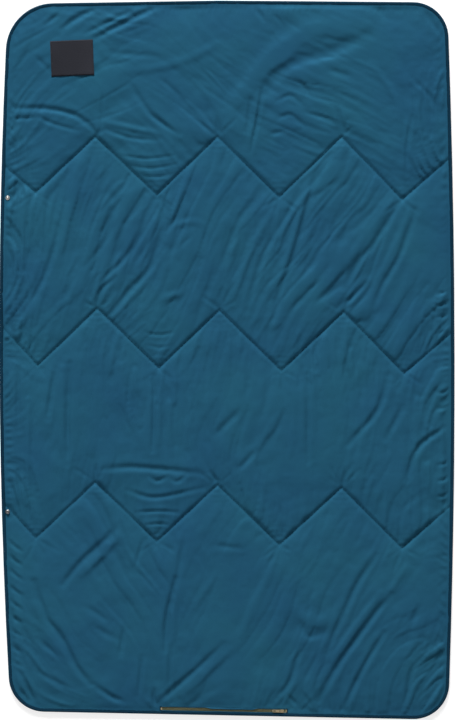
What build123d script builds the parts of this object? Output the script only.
"""Quilted camp blanket, lying flat and face up.

Two fabric shells hold a thin batt between them. Three zigzag rows of quilting go through all three, and a
folded tape binds the edge. A stuff pocket lies inside the foot end, and its zip runs along the foot edge. A
snap stud and a snap socket on the left edge meet when the head half is folded over onto the foot half.

Millimetres. +X is the blanket's right, +Y points to its head end and +Z is up, away from the floor. The
origin is on the floor under the middle. The shells, batt, binding and middle quilting row are one piece each
on the real blanket, and are cut at the fold line here, because each half is a rigid body.
"""

from build123d import *

from math import atan2, cos, hypot, sin
import os

# Plan shape: bowed sides, a head edge with a slight peak and a foot edge that slants
HALF_WIDTH = 571.5
HEAD_LEFT, HEAD_PEAK, HEAD_RIGHT = (-549.7, 893.0), (-20.0, 901.5), (553.0, 897.0)
FOOT_LEFT, FOOT_RIGHT = (-543.2, -882.5), (555.0, -904.5)
HEAD_LEFT_RADIUS, CORNER_RADIUS = 120.0, 90.0

# Layers, from the floor up
FABRIC = 0.8
CLEARANCE = 0.1
PLY = FABRIC + CLEARANCE
CROWN = 13.0  # top of the face between the seams
HEM_TOP = 6.6  # top of the face inside the binding
HEM_BOTTOM = 1.6  # underside of the back inside the binding
HEM_WIDTH = 12.0
HEM_RAMP = 28.0  # plan width of the slope from the hem up to the crown

# Quilting: each row's peaks lie on one line and its valleys on another, as (height at x = 0, slope)
ROW_PEAKS = ((560.0, 0.0), (124.0, -0.015), (-314.5, -0.022))
ROW_VALLEYS = ((410.5, -0.019), (-25.0, -0.022), (-461.0, -0.027))
ROW_SHIFTS = (0.0, 5.0, 0.0)  # to the right
ZIGZAG_X = (-480.0, -330.5, -176.0, -23.5, 131.5, 288.0, 440.0)  # valleys and peaks in turn
ROW_END_X = 554.0
ROW_ENDS = ((483.0, 501.5), (72.0, 59.0), (-366.5, -373.5))  # heights at the left and right edges
SEAM_TOP = 4.0
SEAM_BOTTOM = 1.0
SEAM_FLOOR = 1.5  # half width of a seam's flat bottom
SEAM_SLOPE = 14.0  # plan width of the slope beside a seam
CHANNEL = 3.0  # half width of a seam's channel in the back
THREAD = 0.6

# Edge binding
BINDING_WIDTH = 9.0
STITCH_INSET = 7.5

# Snaps
SNAP_X = -550.5
STUD_Y, SOCKET_Y = 406.0, -382.0
SNAP_FLANGE_RADIUS = 5.5
SNAP_PAD_RADIUS = 5.8  # the face is flat at the hem's level under a snap
SNAP_DIMPLE_RADIUS = 8.0
STUD_RADIUS, STUD_HEIGHT = 2.1, 2.4
SOCKET_BORE, SOCKET_RING, SOCKET_HEIGHT = 2.2, 3.9, 2.6
SNAP_PLATE = 0.9
RIVET_RADIUS = 1.3
RIVET_CAP_RADIUS = 5.0
RIVET_CAP_HEIGHT = 1.1
SNAP_HOLE = RIVET_RADIUS + 0.2

# Fold
FOLD_Y = (STUD_Y + SOCKET_Y) / 2
FOLD_GAP = 0.2

# Label
LABEL_CENTRE = (-388.5, 756.5)
LABEL_SIZE = (107.0, 89.0)
LABEL_TURN = 2.4
LABEL_STITCH_INSET = 3.0

# Zip, along the foot edge
ZIP_LENGTH = 316.0
ZIP_MIDDLE_X = -8.0
ZIP_INSET = 14.0  # from the foot edge to the middle of the coil
ZIP_SLOT = 10.0  # width of the opening that shows the zip
ZIP_HEM = 18.0  # flat strip of the face beside the slot
TAPE_WIDTH = 12.0
TAPE_GAP = 0.5  # half the gap between the tapes
COIL_REACH, COIL_SPINE, COIL_BACK = 0.4, 1.2, 2.1
COIL_PITCH, COIL_TOOTH, COIL_HEIGHT = 2.5, 1.3, 1.6
STOP_SIZE = (3.0, 5.6, 1.9)

# Slider and pull tab
SLIDER_LENGTH, SLIDER_WIDTH = 9.0, 8.0
SLIDER_PLATE = 0.8
SLIDER_FLANGE = 0.9
SLIDER_REST = 146.0  # from the zip's middle, at the closed end
DIVIDER = 0.6
BRIDGE_LENGTH, BRIDGE_WIDTH, BRIDGE_BAR = 7.2, 2.0, 0.7
BRIDGE_HEIGHT = 2.5
TAB_BAR_RADIUS = 0.6
TAB_WIDTH, TAB_ARM = 6.4, 1.3
TAB_EYE, TAB_LENGTH = 6.0, 24.0
TAB_THICKNESS = 1.2

# Pocket, inside the foot end
POCKET_DEPTH = 210.0
POCKET_OVERHANG = 5.0  # how far the pocket passes each end of the zip
POCKET_START = 3.0  # from the foot edge
POCKET_PANEL = 0.4
POCKET_FRONT_DROP = 2 * PLY  # below the face
POCKET_BACK_DROP = POCKET_FRONT_DROP + 1.2
POCKET_SEAM_INSET = 4.0

BELOW = -1.0  # a level under everything
ABOVE = CROWN + 10.0  # a level over everything

foot_slope = (FOOT_RIGHT[1] - FOOT_LEFT[1]) / (FOOT_RIGHT[0] - FOOT_LEFT[0])
foot_angle = atan2(foot_slope, 1)
foot_edge_y = FOOT_LEFT[1] + foot_slope * (ZIP_MIDDLE_X - FOOT_LEFT[0])
zip_plane = Plane(
    origin=(ZIP_MIDDLE_X, foot_edge_y + ZIP_INSET / cos(foot_angle), 0),
    x_dir=(cos(foot_angle), sin(foot_angle), 0),
    z_dir=(0, 0, 1),
)
tape_top = HEM_TOP - PLY
coil_top = tape_top + COIL_HEIGHT
plate_low = coil_top + CLEARANCE
pivot_height = plate_low + SLIDER_PLATE + 0.9


def bowed(start, end, bow_x):
    """A side edge from start to end that reaches out to bow_x at its middle."""
    return ThreePointArc(start, (bow_x, (start[1] + end[1]) / 2), end)


def nearest_vertex(plan, point):
    return plan.vertices().sort_by_distance((*point, 0))[0]


def outline(inset=0.0):
    """The blanket's plan shape, drawn in by inset all round."""
    with BuildSketch() as plan:
        with BuildLine():
            Polyline(HEAD_LEFT, HEAD_PEAK, HEAD_RIGHT)
            bowed(HEAD_RIGHT, FOOT_RIGHT, HALF_WIDTH)
            Line(FOOT_RIGHT, FOOT_LEFT)
            bowed(FOOT_LEFT, HEAD_LEFT, -HALF_WIDTH)
        make_face()
        fillet(nearest_vertex(plan, HEAD_LEFT), HEAD_LEFT_RADIUS)
        fillet([nearest_vertex(plan, corner) for corner in (HEAD_RIGHT, FOOT_LEFT, FOOT_RIGHT)], CORNER_RADIUS)
        if inset:
            offset(amount=-inset)
    return plan.sketch


def zigzag(row):
    """The corners of a quilting row's centre line, with each end carried on past the blanket's edge."""
    points = []
    for corner, x in enumerate(ZIGZAG_X):
        height, slope = (ROW_VALLEYS, ROW_PEAKS)[corner % 2][row]
        points.append((x + ROW_SHIFTS[row], height + slope * x))
    left_end, right_end = Vector(-ROW_END_X, ROW_ENDS[row][0]), Vector(ROW_END_X, ROW_ENDS[row][1])
    beyond_left = left_end + (left_end - Vector(*points[0])) * 0.5
    beyond_right = right_end + (right_end - Vector(*points[-1])) * 0.5
    return [(beyond_left.X, beyond_left.Y), *points, (beyond_right.X, beyond_right.Y)]


def zigzag_strip(row, half_width):
    """The plan shape of a band that follows a quilting row and reaches half_width to each side of it."""
    (x_peak, y_peak), (x_valley, y_valley) = zigzag(row)[4:6]
    lift = half_width * hypot(1, (y_peak - y_valley) / (x_valley - x_peak))
    upper = [(x, y + lift) for x, y in zigzag(row)]
    lower = [(x, y - lift) for x, y in zigzag(row)]
    with BuildSketch() as strip:
        with BuildLine():
            Polyline(*upper, *reversed(lower), close=True)
        make_face()
    return strip.sketch


def slab(plan, low, high):
    """The plan shape between two levels."""
    with BuildPart() as block:
        with BuildSketch(Plane.XY.offset(low)):
            add(plan)
        extrude(amount=high - low)
    return block.part


def slope_between(low_plan, low, high_plan, high):
    """A ruled solid from one plan shape up to another."""
    with BuildPart() as block:
        with BuildSketch(Plane.XY.offset(low)):
            add(low_plan)
        with BuildSketch(Plane.XY.offset(high)):
            add(high_plan)
        loft(ruled=True)
    return block.part


def snap_circle(y, radius):
    """A circle round the snap at height y, in plan."""
    with BuildSketch() as circle:
        with Locations((SNAP_X, y)):
            Circle(radius)
    return circle.sketch


def zip_trough(reach):
    """The plan shape of the flat strip round the zip, larger by reach and open at the foot edge."""
    width = ZIP_LENGTH + 2 * (ZIP_HEM + reach)
    near, far = -2 * ZIP_INSET, ZIP_SLOT / 2 + ZIP_HEM + reach
    with BuildSketch(zip_plane) as trough:
        with Locations((0, (near + far) / 2)):
            Rectangle(width, far - near)
    return trough.sketch


def zip_box(left, right, near, far, low, high):
    """A box in the zip's frame: left to right along it, near to far from the foot edge's side, low to high."""
    with BuildPart() as block:
        with BuildSketch(zip_plane.offset(low)):
            with Locations(((left + right) / 2, (near + far) / 2)):
                Rectangle(right - left, far - near)
        extrude(amount=high - low)
    return block.part


def under_the_face(drop):
    """Everything below the face, with the whole face lowered by drop."""
    hem, crown = HEM_TOP - drop, CROWN - drop
    with BuildPart() as block:
        add(slab(outline(PLY), BELOW, hem))
        add(slope_between(outline(HEM_WIDTH), hem, outline(HEM_WIDTH + HEM_RAMP), crown))
        for row in range(len(ROW_SHIFTS)):
            floor, rim = zigzag_strip(row, SEAM_FLOOR), zigzag_strip(row, SEAM_FLOOR + SEAM_SLOPE)
            add(slope_between(floor, SEAM_TOP - drop, rim, crown), mode=Mode.SUBTRACT)
        for y in (STUD_Y, SOCKET_Y):
            bottom, top = snap_circle(y, SNAP_DIMPLE_RADIUS), snap_circle(y, SNAP_DIMPLE_RADIUS + SEAM_SLOPE)
            add(slope_between(bottom, hem, top, crown), mode=Mode.SUBTRACT)
            add(slab(snap_circle(y, SNAP_PAD_RADIUS - drop), BELOW, hem))
        add(slope_between(zip_trough(0), hem, zip_trough(SEAM_SLOPE), crown), mode=Mode.SUBTRACT)
    return block.part


def under_the_back(lift):
    """Everything below the back's underside, with the whole underside raised by lift."""
    with BuildPart() as block:
        add(slab(outline(), BELOW, lift))
        with BuildSketch(Plane.XY.offset(BELOW)):
            add(outline())
            add(outline(HEM_WIDTH + lift), mode=Mode.SUBTRACT)
            for y in (STUD_Y, SOCKET_Y):
                add(snap_circle(y, SNAP_DIMPLE_RADIUS + lift))
        extrude(amount=HEM_BOTTOM + lift - BELOW)
        for row in range(len(ROW_SHIFTS)):
            channel = slab(zigzag_strip(row, CHANNEL + lift), BELOW, SEAM_BOTTOM + lift)
            add(channel & slab(outline(), BELOW, ABOVE))
    return block.part


def snap_holes(radius):
    """Cutters for the two holes that the snaps' rivets go through."""
    with BuildPart() as block:
        for y in (STUD_Y, SOCKET_Y):
            add(slab(snap_circle(y, radius), BELOW, ABOVE))
    return block.part


def face_layer(top_drop, bottom_drop):
    """The layer that lies between two drops below the face."""
    return under_the_face(top_drop) - under_the_face(bottom_drop)


def pocket_plan(inset, start):
    """The pocket's plan shape as a tall box, drawn in by inset at its sides and bottom, from start."""
    half = ZIP_LENGTH / 2 + POCKET_OVERHANG - inset
    return zip_box(-half, half, start - ZIP_INSET, POCKET_DEPTH - inset - ZIP_INSET, BELOW, ABOVE)


def seam_line(row, low):
    """One thread along a quilting row, cut off where it meets the binding."""
    between_bindings = slab(outline(BINDING_WIDTH + 1), BELOW, ABOVE)
    return slab(zigzag_strip(row, THREAD / 2), low, low + THREAD) & between_bindings


def edge_loop(inset, width, low, high):
    """A band that runs right round the blanket, width wide, starting inset from the edge."""
    with BuildPart() as block:
        with BuildSketch(Plane.XY.offset(low)):
            add(outline(inset))
            add(outline(inset + width), mode=Mode.SUBTRACT)
        extrude(amount=high - low)
    return block.part


def half_of(whole, end):
    """The head or foot half of a piece that the fold line cuts."""
    side = 1 if end == "head" else -1
    with BuildSketch() as half:
        with Locations((0, FOLD_Y + side * (FOLD_GAP / 2 + HALF_WIDTH))):
            Rectangle(3 * HALF_WIDTH, 2 * HALF_WIDTH)
    return whole & slab(half.sketch, BELOW, ABOVE)


os.makedirs("parts", exist_ok=True)

# Shells and batt

with BuildPart() as top_shell:
    add(face_layer(0, FABRIC))
    slot = zip_box(-ZIP_LENGTH / 2, ZIP_LENGTH / 2, -ZIP_SLOT / 2, ZIP_SLOT / 2, BELOW, ABOVE)
    add(slot, mode=Mode.SUBTRACT)
    add(snap_holes(SNAP_HOLE), mode=Mode.SUBTRACT)

with BuildPart() as back_shell:
    add(under_the_back(FABRIC) & slab(outline(PLY), BELOW, ABOVE))
    add(under_the_back(0), mode=Mode.SUBTRACT)
    add(snap_holes(SNAP_HOLE), mode=Mode.SUBTRACT)

with BuildPart() as insulation:
    add(under_the_face(PLY) & slab(outline(BINDING_WIDTH), BELOW, ABOVE))
    add(under_the_back(PLY), mode=Mode.SUBTRACT)
    pocket_room = face_layer(0, POCKET_BACK_DROP + POCKET_PANEL + CLEARANCE) & pocket_plan(-CLEARANCE, 0)
    add(pocket_room, mode=Mode.SUBTRACT)
    add(snap_holes(SNAP_HOLE), mode=Mode.SUBTRACT)

# Edge binding: a tape folded round the edge, and the thread that holds it

binding_low, binding_high = HEM_BOTTOM - PLY, HEM_TOP + PLY
with BuildPart() as edge_binding:
    add(edge_loop(0, BINDING_WIDTH, binding_low, binding_high))
    add(edge_loop(FABRIC, BINDING_WIDTH, binding_low + FABRIC, binding_high - FABRIC), mode=Mode.SUBTRACT)

with BuildPart() as binding_stitching:
    add(edge_loop(STITCH_INSET, THREAD, binding_high, binding_high + THREAD))
    add(edge_loop(STITCH_INSET, THREAD, binding_low - THREAD, binding_low))

# Quilting threads: a needle thread on the face and a bobbin thread on the back

with BuildPart() as quilting_thread_head:
    add(seam_line(0, SEAM_TOP))
    add(seam_line(0, SEAM_BOTTOM - THREAD))
quilting_thread_head.part.label = "quilting_thread_head"
export_step(quilting_thread_head.part, "parts/quilting_thread_head.step")

with BuildPart() as quilting_thread_middle:
    add(seam_line(1, SEAM_TOP))
    add(seam_line(1, SEAM_BOTTOM - THREAD))

with BuildPart() as quilting_thread_foot:
    add(seam_line(2, SEAM_TOP))
    add(seam_line(2, SEAM_BOTTOM - THREAD))
quilting_thread_foot.part.label = "quilting_thread_foot"
export_step(quilting_thread_foot.part, "parts/quilting_thread_foot.step")

# The pieces that the fold line cuts

for whole, name in (
    (top_shell, "top_shell"),
    (back_shell, "back_shell"),
    (insulation, "insulation"),
    (edge_binding, "edge_binding"),
    (binding_stitching, "binding_stitching"),
    (quilting_thread_middle, "quilting_thread_middle"),
):
    for end in ("head", "foot"):
        half = half_of(whole.part, end)
        half.label = f"{name}_{end}"
        export_step(half, f"parts/{name}_{end}.step")

# Woven label

label_plane = Plane(origin=(*LABEL_CENTRE, CROWN)).rotated((0, 0, LABEL_TURN))
with BuildPart() as woven_label:
    with BuildSketch(label_plane):
        RectangleRounded(*LABEL_SIZE, 1.5)
    extrude(amount=FABRIC)
woven_label.part.label = "woven_label"
export_step(woven_label.part, "parts/woven_label.step")

with BuildPart() as label_stitching:
    with BuildSketch(label_plane.offset(FABRIC)) as stitch_loop:
        Rectangle(*(side - 2 * LABEL_STITCH_INSET for side in LABEL_SIZE))
        offset(amount=-THREAD, mode=Mode.SUBTRACT)
    extrude(amount=THREAD)
label_stitching.part.label = "label_stitching"
export_step(label_stitching.part, "parts/label_stitching.step")

# Snap stud, snap socket, and the rivet behind each

with BuildPart() as snap_stud:
    with BuildSketch(Plane((SNAP_X, STUD_Y, HEM_TOP))):
        Circle(SNAP_FLANGE_RADIUS)
    extrude(amount=SNAP_PLATE)
    fillet(snap_stud.edges().filter_by(GeomType.CIRCLE).sort_by(Axis.Z)[-1], SNAP_PLATE / 2)
    with BuildSketch(Plane((SNAP_X, STUD_Y, HEM_TOP + SNAP_PLATE))):
        Circle(STUD_RADIUS)
    extrude(amount=STUD_HEIGHT)
    with BuildSketch(Plane((SNAP_X, STUD_Y, HEM_TOP))):
        Circle(SNAP_HOLE)
    extrude(amount=SNAP_PLATE + STUD_HEIGHT, mode=Mode.SUBTRACT)
snap_stud.part.label = "snap_stud"
export_step(snap_stud.part, "parts/snap_stud.step")

with BuildPart() as snap_socket:
    with BuildSketch(Plane((SNAP_X, SOCKET_Y, HEM_TOP))):
        Circle(SNAP_FLANGE_RADIUS)
    extrude(amount=SNAP_PLATE)
    fillet(snap_socket.edges().filter_by(GeomType.CIRCLE).sort_by(Axis.Z)[-1], SNAP_PLATE / 2)
    with BuildSketch(Plane((SNAP_X, SOCKET_Y, HEM_TOP + SNAP_PLATE))):
        Circle(SOCKET_RING)
        Circle(SOCKET_BORE, mode=Mode.SUBTRACT)
    extrude(amount=SOCKET_HEIGHT)
    rim = snap_socket.edges().filter_by(GeomType.CIRCLE).group_by(Axis.Z)[-1].sort_by(SortBy.LENGTH)[-1]
    fillet(rim, 0.8)
    with BuildSketch(Plane((SNAP_X, SOCKET_Y, HEM_TOP))):
        Circle(SNAP_HOLE)
    extrude(amount=SNAP_PLATE, mode=Mode.SUBTRACT)
snap_socket.part.label = "snap_socket"
export_step(snap_socket.part, "parts/snap_socket.step")

rivets = (
    ("snap_stud_rivet", STUD_Y, SNAP_PLATE + STUD_HEIGHT / 2),
    ("snap_socket_rivet", SOCKET_Y, SNAP_PLATE),
)
for name, y, reach in rivets:
    with BuildPart() as rivet:
        with BuildSketch(Plane((SNAP_X, y, HEM_BOTTOM - RIVET_CAP_HEIGHT))):
            Circle(RIVET_CAP_RADIUS)
        extrude(amount=RIVET_CAP_HEIGHT)
        fillet(rivet.edges().filter_by(GeomType.CIRCLE).sort_by(Axis.Z)[0], 0.7)
        with BuildSketch(Plane((SNAP_X, y, HEM_BOTTOM))):
            Circle(RIVET_RADIUS)
        extrude(amount=HEM_TOP + reach - HEM_BOTTOM)
    rivet.part.label = name
    export_step(rivet.part, f"parts/{name}.step")

# Pocket: two panels joined by a seam on three sides, with the mouth at the zip

with BuildPart() as pocket_front_panel:
    front_layer = face_layer(POCKET_FRONT_DROP, POCKET_FRONT_DROP + POCKET_PANEL)
    add(front_layer & pocket_plan(0, ZIP_INSET + SLIDER_WIDTH / 2 + 1))
pocket_front_panel.part.label = "pocket_front_panel"
export_step(pocket_front_panel.part, "parts/pocket_front_panel.step")

with BuildPart() as pocket_back_panel:
    back_layer = face_layer(POCKET_BACK_DROP, POCKET_BACK_DROP + POCKET_PANEL)
    add(back_layer & pocket_plan(0, POCKET_START))
pocket_back_panel.part.label = "pocket_back_panel"
export_step(pocket_back_panel.part, "parts/pocket_back_panel.step")

with BuildPart() as pocket_stitching:
    mouth = ZIP_INSET + TAPE_WIDTH + 1
    add(face_layer(POCKET_FRONT_DROP + POCKET_PANEL, POCKET_BACK_DROP) & pocket_plan(POCKET_SEAM_INSET, mouth))
    add(pocket_plan(POCKET_SEAM_INSET + THREAD, 0), mode=Mode.SUBTRACT)
pocket_stitching.part.label = "pocket_stitching"
export_step(pocket_stitching.part, "parts/pocket_stitching.step")

# Zip tapes, coils, stops and stitching. The inner side is towards the blanket's middle.

half_zip = ZIP_LENGTH / 2
for side, name in ((1, "inner"), (-1, "outer")):
    near, far = sorted((side * TAPE_GAP, side * TAPE_WIDTH))
    with BuildPart() as zip_tape:
        add(zip_box(-half_zip - 3, half_zip + 3, near, far, tape_top - FABRIC, tape_top))
    zip_tape.part.label = f"zip_tape_{name}"
    export_step(zip_tape.part, f"parts/zip_tape_{name}.step")

    teeth = int((ZIP_LENGTH - 2 * STOP_SIZE[0]) / COIL_PITCH) - 2
    start = -teeth * COIL_PITCH / 2
    comb = [(start, side * COIL_BACK), (start, side * COIL_SPINE)]
    for tooth in range(teeth):
        left = start + tooth * COIL_PITCH + (COIL_PITCH - COIL_TOOTH) / 2
        right = left + COIL_TOOTH
        comb += [(left, side * COIL_SPINE), (left, side * COIL_REACH)]
        comb += [(right, side * COIL_REACH), (right, side * COIL_SPINE)]
    comb += [(-start, side * COIL_SPINE), (-start, side * COIL_BACK)]
    with BuildPart() as zip_coil:
        with BuildSketch(zip_plane.offset(tape_top)):
            with BuildLine():
                Polyline(*comb, close=True)
            make_face()
        extrude(amount=COIL_HEIGHT)
    zip_coil.part.label = f"zip_coil_{name}"
    export_step(zip_coil.part, f"parts/zip_coil_{name}.step")

stop_length, stop_width, stop_height = STOP_SIZE
with BuildPart() as zip_bottom_stop:
    stop_end = -half_zip + stop_length
    add(zip_box(-half_zip, stop_end, -stop_width / 2, stop_width / 2, tape_top, tape_top + stop_height))
zip_bottom_stop.part.label = "zip_bottom_stop"
export_step(zip_bottom_stop.part, "parts/zip_bottom_stop.step")

with BuildPart() as zip_top_stops:
    for side in (1, -1):
        near, far = sorted((side * TAPE_GAP, side * stop_width / 2))
        add(zip_box(half_zip - stop_length, half_zip, near, far, tape_top, tape_top + stop_height))
zip_top_stops.part.label = "zip_top_stops"
export_step(zip_top_stops.part, "parts/zip_top_stops.step")

with BuildPart() as zip_stitching:
    for side in (1, -1):
        near = ZIP_SLOT / 2 + 1.2 if side > 0 else -ZIP_INSET + STITCH_INSET - 3
        low = HEM_TOP if side > 0 else binding_high
        add(zip_box(-half_zip, half_zip, near, near + THREAD, low, low + THREAD))
zip_stitching.part.label = "zip_stitching"
export_step(zip_stitching.part, "parts/zip_stitching.step")

with BuildPart() as zip_bartacks:
    for left in (-half_zip - 2.5, half_zip + 0.5):
        add(zip_box(left, left + 2, -ZIP_SLOT / 2 + 0.5, ZIP_SLOT / 2 + 1, HEM_TOP, HEM_TOP + THREAD))
zip_bartacks.part.label = "zip_bartacks"
export_step(zip_bartacks.part, "parts/zip_bartacks.step")

# Slider: two plates joined by a divider between the tapes, and a bridge that holds the pull tab

with BuildPart() as zip_slider:
    slider_left, slider_right = SLIDER_REST - SLIDER_LENGTH / 2, SLIDER_REST + SLIDER_LENGTH / 2
    with BuildSketch(zip_plane.offset(plate_low)):
        with Locations((SLIDER_REST, 0)):
            RectangleRounded(SLIDER_LENGTH, SLIDER_WIDTH, 2)
    extrude(amount=SLIDER_PLATE)
    bottom_plate_low = tape_top - FABRIC - CLEARANCE - SLIDER_PLATE
    with BuildSketch(zip_plane.offset(bottom_plate_low)):
        with Locations((SLIDER_REST, 0)):
            RectangleRounded(SLIDER_LENGTH, SLIDER_WIDTH, 2)
    extrude(amount=SLIDER_PLATE)
    for side in (1, -1):
        near, far = sorted((side * (SLIDER_WIDTH / 2 - SLIDER_FLANGE), side * SLIDER_WIDTH / 2))
        add(zip_box(slider_left + 2, slider_right - 2, near, far, tape_top + 0.2, plate_low))
    divider_left, divider_right = slider_right - 3, slider_right - 0.5
    divider_low = bottom_plate_low + SLIDER_PLATE
    add(zip_box(divider_left, divider_right, -DIVIDER / 2, DIVIDER / 2, divider_low, plate_low))
    bridge_low, bridge_high = plate_low + SLIDER_PLATE, plate_low + SLIDER_PLATE + BRIDGE_HEIGHT
    half_bridge = BRIDGE_WIDTH / 2
    bridge_left, bridge_right = SLIDER_REST - BRIDGE_LENGTH / 2, SLIDER_REST + BRIDGE_LENGTH / 2
    add(zip_box(bridge_left, bridge_right, -half_bridge, half_bridge, bridge_low, bridge_high))
    eye_left, eye_right = bridge_left + BRIDGE_BAR, bridge_right - BRIDGE_BAR
    eye = zip_box(eye_left, eye_right, -half_bridge, half_bridge, bridge_low, bridge_high - BRIDGE_BAR)
    add(eye, mode=Mode.SUBTRACT)
zip_slider.part.label = "zip_slider"
export_step(zip_slider.part, "parts/zip_slider.step")

# Pull tab: a bar under the bridge, two arms beside it and a plate with a finger hole

with BuildPart() as zip_pull_tab:
    tab_plane = Plane(
        origin=zip_plane.from_local_coords((SLIDER_REST, 0, pivot_height - TAB_THICKNESS / 2)),
        x_dir=zip_plane.x_dir,
        z_dir=(0, 0, 1),
    )
    with BuildSketch(tab_plane):
        with Locations((-TAB_LENGTH / 2, 0)):
            RectangleRounded(TAB_LENGTH, TAB_WIDTH, 1.2)
        with Locations((-TAB_EYE / 2, 0)):
            Rectangle(TAB_EYE, TAB_WIDTH - 2 * TAB_ARM, mode=Mode.SUBTRACT)
        with Locations((-TAB_LENGTH + 5.5, 0)):
            SlotOverall(6.5, 2.6, mode=Mode.SUBTRACT)
    extrude(amount=TAB_THICKNESS)
    bar_plane = Plane(
        origin=zip_plane.from_local_coords((SLIDER_REST, -TAB_WIDTH / 2, pivot_height)),
        z_dir=zip_plane.y_dir,
    )
    with BuildSketch(bar_plane):
        Circle(TAB_BAR_RADIUS)
    extrude(amount=TAB_WIDTH)
zip_pull_tab.part.label = "zip_pull_tab"
export_step(zip_pull_tab.part, "parts/zip_pull_tab.step")
